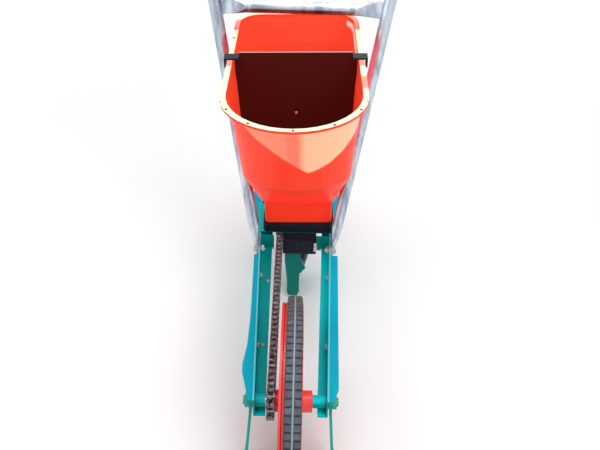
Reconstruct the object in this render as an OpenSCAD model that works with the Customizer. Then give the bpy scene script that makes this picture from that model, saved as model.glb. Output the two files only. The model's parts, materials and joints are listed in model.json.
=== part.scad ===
// Walk-behind single-row seed drill. X across, Y to the rear, Z up, ground at z = 0.
// Lengths along Y are counted from the front axle and moved by place() at the end.

/* [Front wheel] */
// Outer diameter of the front tyre
tyre_d = 360; // [330:1:380]
// Width of the front tyre
tyre_w = 26; // [20:1:34]
// Radial thickness of the front tyre
tyre_t = 17; // [12:1:22]
// Sideways offset of the front wheel from the middle of the frame
wheel_x = 3; // [3:0.5:8]
// Diameter of the front hub
hub_d = 37; // [30:0.5:44]
// Length of the front hub
hub_len = 67; // [60:0.5:67]
// Diameter of the front axle
axle_d = 15; // [10:0.5:18]

/* [Frame] */
// Inner width between the webs at the front axle
web_gap = 122; // [120:1:134]
// Height of the folded rails
rail_h = 40; // [34:1:50]
// Sheet thickness of the rails and plates
sheet = 3; // [2:0.25:4]
// Width of the outer top flange
flange_out = 18; // [14:0.5:24]
// Width of the right rail's inner bottom flange
flange_in = 15; // [8:0.5:20]
// Splay of each rail to the rear, in degrees
rail_splay = 1.8; // [0:0.1:2.4]
// Distance from the front axle to the rear end of the rails
rail_len = 566; // [560:1:600]

/* [Hopper] */
// Height of the hopper rim above the ground
rim_z = 626; // [600:1:660]
// Length of the hopper rim
rim_len = 432; // [410:1:440]
// Width of the hopper rim
rim_w = 233; // [220:1:238]
// Width of the rim flange
rim_flange = 6; // [6:0.5:9]
// Wall thickness of the hopper
wall = 3; // [2:0.25:4]
// Sideways lean of the hopper on its base, in degrees
hopper_lean = 2; // [0:0.1:3]
// Width of the hopper foot
foot_w = 143; // [130:1:146]
// Length of the hopper foot
foot_len = 108; // [96:1:112]

/* [Metering unit] */
// Height of the moulded base under the hopper
base_h = 25; // [20:1:32]
// Chain pitch
pitch = 12.7;
// Teeth on the front sprocket
teeth_front = 14; // [13:1:15]
// Teeth on the metering sprocket
teeth_meter = 10; // [9:1:11]

/* [Handles] */
// Diameter of the handle tubes
tube_d = 23; // [20:0.5:25]
// Rearward lean of the uprights, in degrees
handle_lean = 14.5; // [12:0.5:17]
// Outward splay of the uprights, in degrees
handle_splay = 8.7; // [8:0.1:9.4]
// Length of the straight uprights
upright_len = 570; // [540:5:620]
// Angle between the grips and the uprights, in degrees
grip_bend = 52; // [40:1:60]
// Straight run behind the bend
grip_run = 230; // [200:5:280]

/* [Rear wheel and stand] */
// Diameter of the rear press wheel
press_d = 210; // [190:1:220]
// Width of the rear press wheel
press_w = 48; // [40:1:50]
// Half width of the parking stand at the floor
stance = 125; // [110:1:150]

/* [Hidden] */

teal = [0.0, 0.55, 0.55];
red = [0.8, 0.12, 0.1];
orange = [0.95, 0.22, 0.12];
black = [0.08, 0.08, 0.09];
steel = [0.7, 0.72, 0.74];
rubber = [0.3, 0.32, 0.34];

run_gap = 0.05;
seat_gap = 0.2;
$fn = 48;

axle_z = tyre_d / 2;
rail_top = axle_z + rail_h / 2;
rail_bot = axle_z - rail_h / 2;
rail_nose = 16;
web_in = web_gap / 2;

// Handle foot on the outside of the web
handle_y = 377;
handle_z = axle_z + 4;
flat_t = 6;
flat_w = 30;
foot_drop = 22;

// Deck and metering unit
deck_y = 413;
deck_len = 96;
deck_half = web_in + 24;
deck_top = rail_top + sheet;
foot_x = 6;
foot_y = 416;
foot_z = deck_top + base_h;
house_l = -26;
house_r = 46;
house_y = 386;
house_len = 116;
house_bot = 163;
shaft_y = 443;
shaft_z = 172;
shaft_d = 12;

// Chain
chain_x = -34;
roller_r = 4.25;
chain_in = 7.8;
chain_plate = 1.4;
front_pr = pitch / 2 / sin(180 / teeth_front);
meter_pr = pitch / 2 / sin(180 / teeth_meter);
tooth_gap = 0.6;
tooth_depth = 3.6;
tooth_half = 3.4;
plate_r = 4.6;

// Handles
bend_r = 90;
grip_d = 30;
grip_len = 125;
grip_tilt = handle_lean + grip_bend;

// Rear end
wheel_gap = 8;
press_y = rail_len + sqrt(pow(press_d / 2 + wheel_gap, 2) - pow(rail_bot + sheet - press_d / 2, 2));
press_z = press_d / 2;
fork_x = press_w / 2 + 9;
fork_t = 5;
press_axle_d = 12;

// Parking stand
leg_w = 24;
leg_t = 5;
leg_lean = 22;
leg_x = web_in + sheet + 2;

neck = 62;
grip_cap = 5;
bar_up = 438;
end_run = grip_run + grip_cap;
end_up = upright_len + bend_r * sin(grip_bend) + end_run * cos(grip_bend);
end_back = bend_r - bend_r * cos(grip_bend) + end_run * sin(grip_bend);
end_y = end_back * cos(handle_lean) + end_up * sin(handle_lean);
end_x = (end_up * cos(handle_lean) - end_back * sin(handle_lean)) * sin(handle_splay);
end_slope = sin(grip_tilt) * cos(rail_splay) - cos(grip_tilt) * sin(handle_splay) * sin(rail_splay);

front_y = -tyre_d / 2;
grip_end_y = handle_y + (neck * tan(handle_lean) + end_y) * cos(rail_splay)
    - (neck * tan(handle_splay) + end_x) * sin(rail_splay) + grip_d / 2 * sqrt(1 - pow(end_slope, 2));
y_mid = (front_y + grip_end_y) / 2;

function arc(cx, cy, r, a0, a1, n = 6) =
    [for (i = [0:n]) let (a = a0 + (a1 - a0) * i / n) [cx + r * cos(a), cy + r * sin(a)]];

// Plan outline of the hopper: half-ellipse in front, sides that close in by taper, round rear corners
function tub(half, y_front, y_rear, nose, corner, taper = 0) = concat(
    [for (i = [0:20]) let (a = 180 + 9 * i) [half * cos(a), y_front + nose + nose * sin(a)]],
    arc(half - taper - corner, y_rear - corner, corner, 0, 90),
    arc(corner + taper - half, y_rear - corner, corner, 90, 180));

module place() {
    translate([0, -y_mid, 0]) children();
}

// Side view outline (y, z) extruded along X from x0 to x1
module side(x0, x1) {
    translate([x0, 0, 0]) rotate([90, 0, 90]) linear_extrude(x1 - x0) children();
}

module xcyl(x0, x1, d) {
    translate([x0, 0, 0]) rotate([0, 90, 0]) cylinder(h = x1 - x0, d = d);
}

module xring(x0, x1, d_out, d_in) {
    difference() {
        xcyl(x0, x1, d_out);
        xcyl(x0 - 1, x1 + 1, d_in);
    }
}

// Outer edge of the top flange: distance from the front axle and share of flange_out
left_edge = [[-rail_nose + 4, 0.45], [46, 1.15], [64, 1.15], [105, 0.8], [170, 0.62],
    [handle_y - 32, 0.55]];
right_edge = [[-rail_nose + 4, 0.45], [14, 0.95], [handle_y - 32, 0.86]];
left_lip_front = 17.5;
left_lip_rear = 26;
tool_y = [470, 530];
tool_d = 8.5;
function lip_at(s, y) = s > 0 ? flange_in
    : left_lip_front + (left_lip_rear - left_lip_front) * (y + rail_nose) / (rail_len + rail_nose);

// Rail before its splay, drawn on the right
module rail_body(s) {
    back = rail_len;
    outside = web_in + sheet;
    edge = s < 0 ? left_edge : right_edge;
    difference() {
        side(web_in, outside) polygon([[-rail_nose, rail_bot], [back, rail_bot],
            [back, rail_top], [-rail_nose + 4, rail_top]]);
        for (y = tool_y) translate([0, y, axle_z]) xcyl(web_in - 1, outside + 1, tool_d);
    }
    // Top flange, cut away round the foot of the handle
    translate([0, 0, rail_top - sheet]) linear_extrude(sheet) polygon(concat(
        [[web_in, -rail_nose + 4]], [for (e = edge) [outside + e[1] * flange_out, e[0]]],
        [[outside, handle_y - 30], [outside, handle_y + 22], [outside + flange_out, handle_y + 46],
        [outside + flange_out, back], [web_in, back]]));
    // Bottom flange
    translate([0, 0, rail_bot]) linear_extrude(sheet) polygon([[outside, -rail_nose],
        [web_in - lip_at(s, -rail_nose), -rail_nose], [web_in - lip_at(s, back), back], [outside, back]]);
}

boss_d = 22;
boss_left = chain_x - 9.5;
boss_right = wheel_x + hub_len / 2 + 1;
module rail(s) {
    difference() {
        union() {
            mirror([s < 0 ? 1 : 0, 0, 0]) rotate([0, 0, -rail_splay]) rail_body(s);
            // Boss that holds the axle beside the chain on the left and the hub on the right
            translate([0, 0, axle_z])
                xcyl(s < 0 ? -web_in - 1 : boss_right, s < 0 ? boss_left : web_in + 1, boss_d);
        }
        translate([0, 0, axle_z]) xcyl(-120, 120, axle_d + 2 * run_gap);
        translate([0, handle_y, handle_z]) xcyl(-120, 120, bolt_d + 0.1);
    }
}

function web_at(y) = (web_in + sheet) / cos(rail_splay) + y * tan(rail_splay);

plate_y = house_y + 18;
plate_t = 4;
module cross_plate() {
    inner = web_at(plate_y) - sheet - seat_gap;
    color(teal) place() difference() {
        translate([-inner, plate_y, rail_bot - 2]) cube([2 * inner, plate_t, rail_h - sheet + 2]);
        for (x = [lip_at(-1, plate_y) - inner + 1 - 100, inner - lip_at(1, plate_y) - 1])
            translate([x, plate_y - 1, rail_bot - 3]) cube([100, plate_t + 2, 3 + sheet + seat_gap]);
        translate([chain_x - 12, plate_y - 1, house_bot])
            cube([house_r - chain_x + 12.5, plate_t + 2, rail_h]);
        translate([chain_x - 12, plate_y - 1, rail_bot - 3])
            cube([house_l - chain_x + 11, plate_t + 2, rail_h + 3]);
    }
}

// Square opening in the deck under the seed outlet
slot_left = -20;
slot_lead = 26;
slot_side = 60;
module deck_plate() {
    color(teal) place() difference() {
        translate([-deck_half, deck_y, rail_top]) cube([2 * deck_half, deck_len, sheet]);
        translate([slot_left, deck_y + slot_lead, rail_top - 1]) cube([slot_side, slot_side, sheet + 2]);
    }
}

axle_nut_w = 24;
axle_nut_t = 7;
axle_end = 3;
spacer_d = 24;
side_gap = 0.3;
module front_axle() {
    nut_x = leg_x + leg_t + side_gap;
    spacer_len = leg_x - side_gap - web_at(0) - seat_gap;
    color(steel) place() translate([0, 0, axle_z]) {
        xcyl(-nut_x - axle_nut_t - axle_end, nut_x + axle_nut_t + axle_end, axle_d);
        for (x = [nut_x, -nut_x - axle_nut_t]) translate([x, 0, 0])
            rotate([0, 90, 0]) cylinder(h = axle_nut_t, d = axle_nut_w, $fn = 6);
        for (x = [web_at(0) + seat_gap, side_gap - leg_x]) xring(x, x + spacer_len, spacer_d, axle_d - 1);
    }
}

rim_y = 145;
rim_rear = rim_y + rim_len;
nose = 104;
corner = 42;
spout_h = 56;
tub_rows = [
    // [height, half width, front, rear, nose depth, corner radius, taper]
    [rim_z, rim_w / 2 - rim_flange, rim_y + rim_flange, rim_rear - rim_flange, nose, corner, 0],
    [rim_z - 52, rim_w / 2 - 6.3, rim_y + 67, rim_rear - 17, nose - 6, corner - 2, 4],
    [rim_z - 225, rim_w / 2 - 12.5, rim_y + 156, rim_rear - 39, nose - 44, corner - 8, 16.5],
    [foot_z + spout_h - 2, foot_w / 2 + 4, foot_y - 8, foot_y + foot_len + 2, 16, 16, 0]];

module tub_slice(row, inset) {
    translate([0, 0, row[0]]) linear_extrude(0.01) polygon(tub(row[1] - inset, row[2] + inset,
        row[3] - inset, row[4], max(row[5] - inset, 4), row[6]));
}

module tub_form(inset) {
    for (i = [0:2]) hull() {
        tub_slice(tub_rows[i], inset);
        tub_slice(tub_rows[i + 1], inset);
    }
}

module spout(inset, z0, z1) {
    x = foot_w / 2 - inset;
    translate([0, foot_y, z0]) linear_extrude(z1 - z0) polygon(concat(
        arc(x - 8, 8 + inset, 8, -90, 0, 3), arc(x - 8, foot_len - 8 - inset, 8, 0, 90, 3),
        arc(8 - x, foot_len - 8 - inset, 8, 90, 180, 3), arc(8 - x, 8 + inset, 8, 180, 270, 3)));
}

// Leans with the hopper about the middle of its foot
module leaning() {
    translate([foot_x, 0, foot_z]) rotate([0, -hopper_lean, 0]) translate([0, 0, -foot_z]) children();
}

rim_t = 4;
module hopper() {
    color(orange) place() leaning() {
        difference() {
            union() {
                tub_form(0);
                spout(0, foot_z, foot_z + spout_h);
                translate([0, 0, rim_z - rim_t]) linear_extrude(rim_t)
                    polygon(tub(rim_w / 2, rim_y, rim_rear, nose + 4, corner + 6));
            }
            tub_form(wall);
            spout(wall, foot_z - 1, foot_z + spout_h);
            translate([0, 0, rim_z - rim_t - 1]) linear_extrude(rim_t + 2)
                polygon(tub(rim_w / 2 - rim_flange - wall, rim_y + rim_flange + wall,
                    rim_rear - rim_flange - wall, nose, corner - wall));
            lid_holes();
        }
    }
}

hole_x = rim_w / 2 - rim_flange * 0.6;
hole_front = rim_y + 87;
hole_rear = rim_rear - 75;
lid_hole_d = 3;
module lid_holes() {
    for (s = [-1, 1], y = [hole_front, hole_rear])
        translate([s * hole_x, y, rim_z - 10]) cylinder(h = 20, d = lid_hole_d);
}

divider_y = 388;
divider_t = 3;
divider_lift = 138;
divider_bot = foot_z + divider_lift;
divider_gap = 1.2;
divider_top = rim_w / 2 - rim_flange - wall - divider_gap;
hook_w = 19;
hook_t = 3;
hook_in = 9;
hook_out = 3;
hook_drop = 14;
ledge = 2.1;
divider_lip = 5.9;
module divider() {
    color([0.24, 0.07, 0.07]) place() leaning() {
        intersection() {
            translate([-rim_w, divider_y, divider_bot])
                cube([2 * rim_w, divider_t, rim_z - divider_bot - 2]);
            tub_form(wall + divider_gap);
        }
        translate([-divider_top, divider_y, rim_z - ledge]) cube([2 * divider_top, divider_t, ledge]);
        translate([hook_in - divider_top, divider_y, rim_z - ledge])
            cube([2 * (divider_top - hook_in), divider_t, divider_lip + ledge]);
    }
}

// Hooks that hang the divider over the rim and reach over its ends
module divider_hooks() {
    out = rim_w / 2 + hook_out;
    color(black) place() leaning() for (s = [0, 1]) mirror([s, 0, 0])
        translate([0, divider_y + divider_t - hook_w, 0]) {
            translate([divider_top - hook_in + seat_gap, 0, rim_z + seat_gap])
                cube([out + hook_t - divider_top + hook_in - seat_gap, hook_w, hook_t]);
            translate([out, 0, rim_z - hook_drop]) cube([hook_t, hook_w, hook_drop + seat_gap + hook_t]);
        }
}

module meter_base() {
    color(black) place() difference() {
        translate([foot_x, foot_y - 5, deck_top]) linear_extrude(base_h + 10) {
            x = foot_w / 2 + 4;
            polygon(concat(arc(x - 10, 10, 10, -90, 0, 4), arc(x - 10, foot_len, 10, 0, 90, 4),
                arc(10 - x, foot_len, 10, 90, 180, 4), arc(10 - x, 10, 10, 180, 270, 4)));
        }
        leaning() translate([-rim_w, 0, foot_z]) cube([2 * rim_w, 2 * rail_len, 3 * base_h]);
        translate([-18, foot_y + 26, deck_top - 1]) cube([54, 54, 60]);
    }
}

module meter_housing() {
    color(black) place() difference() {
        translate([house_l, house_y, house_bot]) cube([house_r - house_l, house_len, rail_top - house_bot]);
        translate([0, shaft_y, shaft_z]) xcyl(house_l - 1, house_r - 12, shaft_d + 2 * run_gap);
    }
}

// Closed loop round both sprockets: position and heading at a distance along it
loop_c = norm([shaft_y, shaft_z - axle_z]);
loop_a = atan2(shaft_z - axle_z, shaft_y);
loop_b = asin((front_pr - meter_pr) / loop_c);
run_len = loop_c * cos(loop_b);
wrap_front = front_pr * PI * (180 + 2 * loop_b) / 180;
wrap_meter = meter_pr * PI * (180 - 2 * loop_b) / 180;
loop_len = 2 * run_len + wrap_front + wrap_meter;
links = 2 * round(loop_len / pitch / 2);
function on_loop(d) =
    d < run_len ? let (p = front_pr * [cos(loop_a + 90 - loop_b), sin(loop_a + 90 - loop_b)],
        u = [cos(loop_a - loop_b), sin(loop_a - loop_b)]) [p + d * u, loop_a - loop_b]
    : d < run_len + wrap_meter ? let (a = loop_a + 90 - loop_b - (d - run_len) / meter_pr * 180 / PI)
        [[shaft_y, shaft_z - axle_z] + meter_pr * [cos(a), sin(a)], a - 90]
    : d < 2 * run_len + wrap_meter ? let (a = loop_a - 90 + loop_b, e = d - run_len - wrap_meter)
        [[shaft_y, shaft_z - axle_z] + meter_pr * [cos(a), sin(a)] - e * [cos(loop_a + loop_b),
            sin(loop_a + loop_b)], loop_a + loop_b + 180]
    : let (a = loop_a - 90 + loop_b - (d - 2 * run_len - wrap_meter) / front_pr * 180 / PI)
        [front_pr * [cos(a), sin(a)], a - 90];

module link_plate(p, q, x, r) {
    v = q - p;
    translate([x, p[0], p[1]]) rotate([atan2(v[1], v[0]), 0, 0]) translate([0, -r, -r])
        cube([chain_plate, norm(v) + 2 * r, 2 * r]);
}

module chain() {
    step = loop_len / links;
    half = chain_in / 2;
    color(steel) place() translate([chain_x, 0, axle_z]) for (i = [0:links - 1]) {
        p = on_loop(i * step)[0];
        q = on_loop((i + 1) % links * step)[0];
        inner = half + chain_plate;
        for (x = i % 2 == 0 ? [-inner, half] : [-inner - chain_plate + 0.3, inner - 0.3])
            link_plate(p, q, x, i % 2 == 0 ? plate_r : plate_r - 0.4);
        translate([-half - 0.5, p[0], p[1]]) rotate([0, 90, 0])
            cylinder(h = 2 * half + 1, r = roller_r, $fn = 4);
    }
}

module sprocket(teeth, tip, x0, x1) {
    side(x0, x1) polygon([for (i = [0:teeth - 1], k = [0:3]) let (
        a = 360 / teeth * (i + [0, 0.25, 0.5, 0.75][k]), r = k == 0 || k == 3 ? tip : tip - tooth_depth)
        r * [cos(a - 45 / teeth), sin(a - 45 / teeth)]]);
}

shank_y = house_y + 22;
shank_t = 8;
shank_l = -22;
shank_r = 13;
tip_l = -14;
tip_r = 9;
tip_z = 8;
ear_x = 25;
ear_z = 96;
module opener_shank() {
    top = house_bot - seat_gap;
    color(teal) place() translate([0, shank_y + shank_t, 0]) rotate([90, 0, 0]) linear_extrude(shank_t)
        polygon([[shank_l, top], [shank_l, ear_z + 24], [tip_l - 2.5, ear_z - 34], [tip_l, tip_z],
            [tip_r, tip_z], [tip_r + 2, ear_z - 34], [shank_r, ear_z - 12], [ear_x, ear_z],
            [shank_r, ear_z + 34], [shank_r, top]]);
}

plate_w = 3;
shoe_len = 58;
shoe_z = 6;
shoe_plates = [
    // [left face, length at the top, height at the top's rear, height at the top's front]
    [tip_l - 2, 52, 92, 104],
    [tip_r, 60, 58, 62]];
bridge_t = 6;
bridge_top = 44;
module opener_shoe() {
    back = shank_y + shank_t;
    color(teal) place() {
        for (p = shoe_plates) side(p[0], p[0] + plate_w) polygon([[back, tip_z], [back + shoe_len, shoe_z],
            [back + shoe_len + 6, 30], [back + p[1], p[2]], [back, p[3]]]);
        side(tip_l + 1, tip_r) polygon([[back, tip_z], [back + bridge_t, tip_z],
            [back + bridge_t, bridge_top], [back, bridge_top]]);
    }
}

tube_x = 28;
tube_y = shank_y + 24;
tube_run = 50;
seed_d = 19;
seed_tip_d = 12;
seed_bore = 9;
seed_lean = 9;
module seed_tube() {
    color(black) place() difference() {
        translate([tube_x, tube_y, house_bot]) rotate([0, seed_lean, 0]) difference() {
            union() {
                translate([0, 0, -tube_run]) cylinder(h = tube_run + 6, d = seed_d);
                translate([0, 0, -2 * tube_run]) cylinder(h = tube_run, d1 = seed_tip_d, d2 = seed_d);
            }
            translate([0, 0, -2 * tube_run - 1]) cylinder(h = 3 * tube_run, d = seed_bore);
        }
        translate([0, tube_y - 50, house_bot - seat_gap]) cube([100, 100, 50]);
    }
}

// Places its children at the foot of the handle on one side; s is -1 or 1
module at_foot(s) {
    x = web_at(handle_y) + flat_t / 2 + seat_gap;
    mirror([s < 0 ? 1 : 0, 0, 0]) translate([x, handle_y, handle_z])
        rotate([0, 0, -rail_splay]) children();
}

// Start of the round tube, above the flattened foot
module on_upright() {
    translate([neck * tan(handle_splay), neck * tan(handle_lean), neck])
        rotate([0, handle_splay, 0]) rotate([-handle_lean, 0, 0]) children();
}

// Start of the grip run, behind the bend
module on_grip() {
    on_upright() translate([0, bend_r, upright_len]) rotate([-grip_bend, 0, 0])
        translate([0, -bend_r, 0]) children();
}

// End of a round tube pressed flat towards -Z: a cone between two slanted planes
module flattened(d, width, thick, run) {
    half = d / 2 + nest;
    intersection() {
        translate([0, 0, -run]) cylinder(h = run + 1, d1 = width, d2 = d - 2 * nest);
        translate([0, width, 0]) rotate([90, 0, 0]) linear_extrude(2 * width)
            polygon([[-half, 2], [-half, 0], [-thick / 2, -run], [-thick / 2, -run - 1],
                [thick / 2, -run - 1], [thick / 2, -run], [half, 0], [half, 2]]);
    }
}

press_len = 50;
// The bend runs one degree into the straight runs at both ends
lap = 1;
nest = 0.1;
module handle(s) {
    color(steel) place() at_foot(s) {
        on_upright() cylinder(h = upright_len, d = tube_d);
        on_upright() translate([0, bend_r, upright_len]) rotate([0, -90, 0]) rotate([0, 0, -90 - lap])
            rotate_extrude(angle = grip_bend + 2 * lap) translate([bend_r, 0])
                circle(d = tube_d - 2 * nest);
        on_grip() cylinder(h = grip_run, d = tube_d);
        on_upright() flattened(tube_d, flat_w + 4, flat_t, press_len);
        difference() {
            rotate([-handle_lean, 0, 0]) side(-flat_t / 2, flat_t / 2) union() {
                translate([0, -foot_drop]) circle(d = flat_w);
                translate([-flat_w / 2, -foot_drop]) square([flat_w, neck - press_len + 6 + foot_drop]);
            }
            xcyl(-20, 20, bolt_d + 0.1);
        }
    }
}

bolt_d = 8.4;
nut_w = 15;
nut_t = 6.5;
module handle_bolts() {
    web = flat_t / 2 + seat_gap + sheet / cos(rail_splay);
    color(steel) place() for (s = [-1, 1]) at_foot(s) {
        xcyl(-web - 9, flat_t / 2 + 8, bolt_d);
        for (x = [-web - seat_gap - nut_t, flat_t / 2 + seat_gap]) translate([x, 0, 0]) rotate([0, 90, 0])
            cylinder(h = nut_t, d = nut_w, $fn = 6);
    }
}

// Cross tube with flattened ends, cut to fit against both uprights
bar_d = 22;
bar_flat = 90;
bar_w = 31;
bar_in = bar_flat / 2 + 4;
bar_t = 6;
bar_end = neck + bar_up * cos(handle_lean) * cos(handle_splay);
bar_y = handle_y + (neck * tan(handle_lean) + bar_up * sin(handle_lean)) * cos(rail_splay)
    - (neck * tan(handle_splay) + bar_up * cos(handle_lean) * sin(handle_splay)) * sin(rail_splay);
bar_x = web_at(handle_y) + neck * tan(handle_splay) + bar_up * cos(handle_lean) * sin(handle_splay);
module crossbar() {
    color(steel) place() difference() {
        translate([0, bar_y, handle_z + bar_end]) {
            xcyl(-bar_x + bar_in, bar_x - bar_in, bar_d);
            for (s = [0, 1]) mirror([s, 0, 0]) translate([bar_x - bar_in, 0, 0])
                rotate([-handle_lean, 0, 0]) rotate([0, 90, 0]) rotate([0, 180, 90])
                    flattened(bar_d, bar_w, bar_t, bar_flat / 2);
        }
        for (s = [-1, 1]) at_foot(s) on_upright() cylinder(h = upright_len, d = tube_d + 2 * seat_gap);
    }
}

collar_t = 5;
collar_w = 4;
module grip(s) {
    color(black) place() at_foot(s) on_grip() difference() {
        union() {
            translate([0, 0, end_run - grip_len]) cylinder(h = grip_len, d = grip_d);
            translate([0, 0, end_run - grip_len]) cylinder(h = collar_t, d = grip_d + 2 * collar_w);
        }
        translate([0, 0, end_run - grip_len - 1])
            cylinder(h = grip_len - grip_cap + 1.1, d = tube_d + 2 * run_gap);
    }
}

module rear_fork() {
    inner = web_at(rail_len - sheet) - sheet - seat_gap;
    color(teal) place() {
        translate([-inner, rail_len - sheet, rail_bot + sheet + seat_gap])
            cube([2 * inner, sheet, rail_h - 2 * (sheet + seat_gap)]);
        for (s = [-1, 1]) translate([s > 0 ? fork_x : -fork_x - fork_t, 0, 0]) difference() {
            side(0, fork_t) polygon([[rail_len - sheet / 2, rail_top - sheet - seat_gap],
                [rail_len - sheet / 2, rail_bot + sheet + seat_gap],
                [rail_len, rail_bot + sheet + seat_gap],
                [press_y - 16, press_z - 12], [press_y, press_z - 18], [press_y + 16, press_z - 10],
                [press_y + 16, press_z + 14], [rail_len + 40, rail_top - sheet - seat_gap]]);
            translate([0, press_y, press_z]) xcyl(-1, fork_t + 1, press_axle_d + 2 * run_gap);
        }
    }
}

press_nut_w = 20;
press_nut_t = 6.8;
module rear_axle() {
    color(steel) place() translate([0, press_y, press_z]) {
        xcyl(-fork_x - fork_t - 8, fork_x + fork_t + 8, press_axle_d);
        for (x = [-fork_x - fork_t - seat_gap - press_nut_t, fork_x + fork_t + seat_gap])
            translate([x, 0, 0]) rotate([0, 90, 0]) cylinder(h = press_nut_t, d = press_nut_w, $fn = 6);
    }
}

module revolve_x() {
    rotate([0, 90, 0]) rotate_extrude($fn = 96) children();
}

module front_tyre() {
    r = tyre_d / 2;
    h = tyre_w / 2;
    color(rubber) place() translate([wheel_x, 0, axle_z]) revolve_x() polygon([[r - tyre_t, -h + 2],
        [r - 4, -h], [r - 1.5, -h + 2], [r - 1.5, -1.6], [r, -1.2], [r, 1.2], [r - 1.5, 1.6],
        [r - 1.5, h - 2], [r - 4, h], [r - tyre_t, h - 2]]);
}

rim_side = 8.5;
module front_disc() {
    r = tyre_d / 2 - tyre_t;
    h = tyre_w / 2;
    left = -h - rim_side;
    color(red) place() translate([wheel_x, 0, axle_z]) revolve_x() polygon([[hub_d / 2 + seat_gap / 2, -2],
        [60, -2], [90, -7], [r - 14, -7], [r - 9, left], [r + 4, left], [r + 4, left + 4],
        [r + 1, left + 4.8], [r + 4, left + 5.6], [r + 4, -h + 0.8],
        [r - 0.1, -h + 1.8], [r - 0.1, h - 1.8], [r + 4, h - 0.8], [r + 4, h + 1], [r - 6, h + 1],
        [r - 6, 2], [r - 12, -4], [90, -4], [60, 1], [hub_d / 2 + seat_gap / 2, 1]]);
}

module front_hub() {
    color(red) place() translate([wheel_x, 0, axle_z])
        xring(-hub_len / 2, hub_len / 2, hub_d, axle_d + 2 * run_gap);
}

sprocket_hub_d = 30;
module front_sprocket() {
    hub_left = wheel_x - hub_len / 2;
    color(steel) place() translate([0, 0, axle_z]) difference() {
        union() {
            sprocket(teeth_front, front_pr - roller_r - tooth_gap, chain_x - tooth_half,
                chain_x + tooth_half);
            xcyl(chain_x - 8, hub_left - 0.4, sprocket_hub_d);
        }
        xcyl(-100, 100, axle_d + 2 * run_gap);
    }
}

module meter_shaft() {
    color(steel) place() translate([0, shaft_y, shaft_z]) xcyl(chain_x - 9, house_r - 13, shaft_d);
}

module meter_sprocket() {
    color(steel) place() translate([0, shaft_y, shaft_z]) difference() {
        sprocket(teeth_meter, meter_pr - roller_r - tooth_gap, chain_x - tooth_half, chain_x + tooth_half);
        xcyl(-100, 100, shaft_d + 0.1);
    }
}

press_t = 16;
press_hub_d = 30;
module press_tyre() {
    r = press_d / 2;
    h = press_w / 2;
    color(rubber) place() translate([0, press_y, press_z]) revolve_x() polygon([[r - press_t, -h + 3],
        [r - 5, -h], [r, -h + 5], [r, h - 5], [r - 5, h], [r - press_t, h - 3]]);
}

module press_disc() {
    r = press_d / 2 - press_t;
    h = press_w / 2;
    color(red) place() translate([0, press_y, press_z]) difference() {
        union() {
            revolve_x() polygon([[14, -2], [r - 10, -2], [r - 10, -h + 3.4], [r - 0.1, -h + 3.4],
                [r - 0.1, h - 3.4], [r - 10, h - 3.4], [r - 10, 2], [14, 2]]);
            xcyl(-h - 6, h + 6, press_hub_d);
        }
        xcyl(-60, 60, press_axle_d + 2 * run_gap);
    }
}

// Bent flat-bar leg on the end of the front axle, with its foot on the ground
module stand(s) {
    knee_x = leg_x + 9;
    knee_z = 50;
    foot_in = stance - 40;
    bar_half = leg_w / 2 - 3;
    color(teal) place() mirror([s < 0 ? 1 : 0, 0, 0]) difference() {
        union() {
            translate([0, 0, axle_z]) xcyl(leg_x, leg_x + leg_t, leg_w);
            intersection() {
                translate([0, leg_w, 0]) rotate([90, 0, 0]) linear_extrude(2 * leg_w + leg_lean) polygon([
                    [leg_x, axle_z + 3], [leg_x, axle_z - 16], [knee_x, knee_z], [foot_in, leg_t],
                    [foot_in, 0], [stance, 0], [stance, leg_t], [foot_in + 4, leg_t],
                    [knee_x + leg_t, knee_z + 2],
                    [leg_x + leg_t, axle_z - 15], [leg_x + leg_t, axle_z + 3]]);
                side(0, stance + 1) polygon([[-bar_half, axle_z + 5], [bar_half, axle_z + 5],
                    [bar_half - leg_lean, -1], [-bar_half - leg_lean, -1]]);
            }
        }
        translate([0, 0, axle_z]) xcyl(leg_x - 1, leg_x + leg_t + 1, axle_d + 2 * run_gap);
    }
}

color(teal) place() rail(-1);  // rail_left
color(teal) place() rail(1);  // rail_right
cross_plate();
deck_plate();
front_axle();
hopper();
divider();
divider_hooks();
meter_base();
meter_housing();
chain();
opener_shank();
opener_shoe();
seed_tube();
handle(-1);  // handle_left
handle(1);  // handle_right
handle_bolts();
crossbar();
grip(-1);  // grip_left
grip(1);  // grip_right
rear_fork();
rear_axle();
front_tyre();
front_disc();
front_hub();
front_sprocket();
meter_shaft();
meter_sprocket();
press_tyre();
press_disc();
stand(-1);  // stand_left
stand(1);  // stand_right
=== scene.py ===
"""Walk-behind single-row seed drill: finishes, tread, chain and small fittings on the CAD frame.

Metres, X across, Y to the rear, Z up, ground at z = 0.
"""
import json
import math

import bmesh
import bpy
from mathutils import Matrix, Vector


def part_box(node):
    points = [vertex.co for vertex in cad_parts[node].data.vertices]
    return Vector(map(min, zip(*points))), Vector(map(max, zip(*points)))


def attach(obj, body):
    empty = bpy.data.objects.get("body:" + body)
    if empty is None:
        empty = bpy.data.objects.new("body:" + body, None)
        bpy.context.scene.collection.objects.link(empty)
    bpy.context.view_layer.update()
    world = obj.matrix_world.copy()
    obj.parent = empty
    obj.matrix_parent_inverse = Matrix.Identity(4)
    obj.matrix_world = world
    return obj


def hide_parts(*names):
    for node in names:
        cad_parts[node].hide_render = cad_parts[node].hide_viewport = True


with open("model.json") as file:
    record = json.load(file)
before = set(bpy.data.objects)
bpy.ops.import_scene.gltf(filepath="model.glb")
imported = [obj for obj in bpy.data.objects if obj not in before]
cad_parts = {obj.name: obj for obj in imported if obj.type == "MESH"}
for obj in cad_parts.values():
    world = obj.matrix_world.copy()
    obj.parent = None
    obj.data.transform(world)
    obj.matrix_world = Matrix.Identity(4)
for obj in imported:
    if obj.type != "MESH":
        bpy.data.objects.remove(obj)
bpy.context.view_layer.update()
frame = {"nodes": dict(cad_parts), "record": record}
scene = bpy.context.scene

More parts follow.
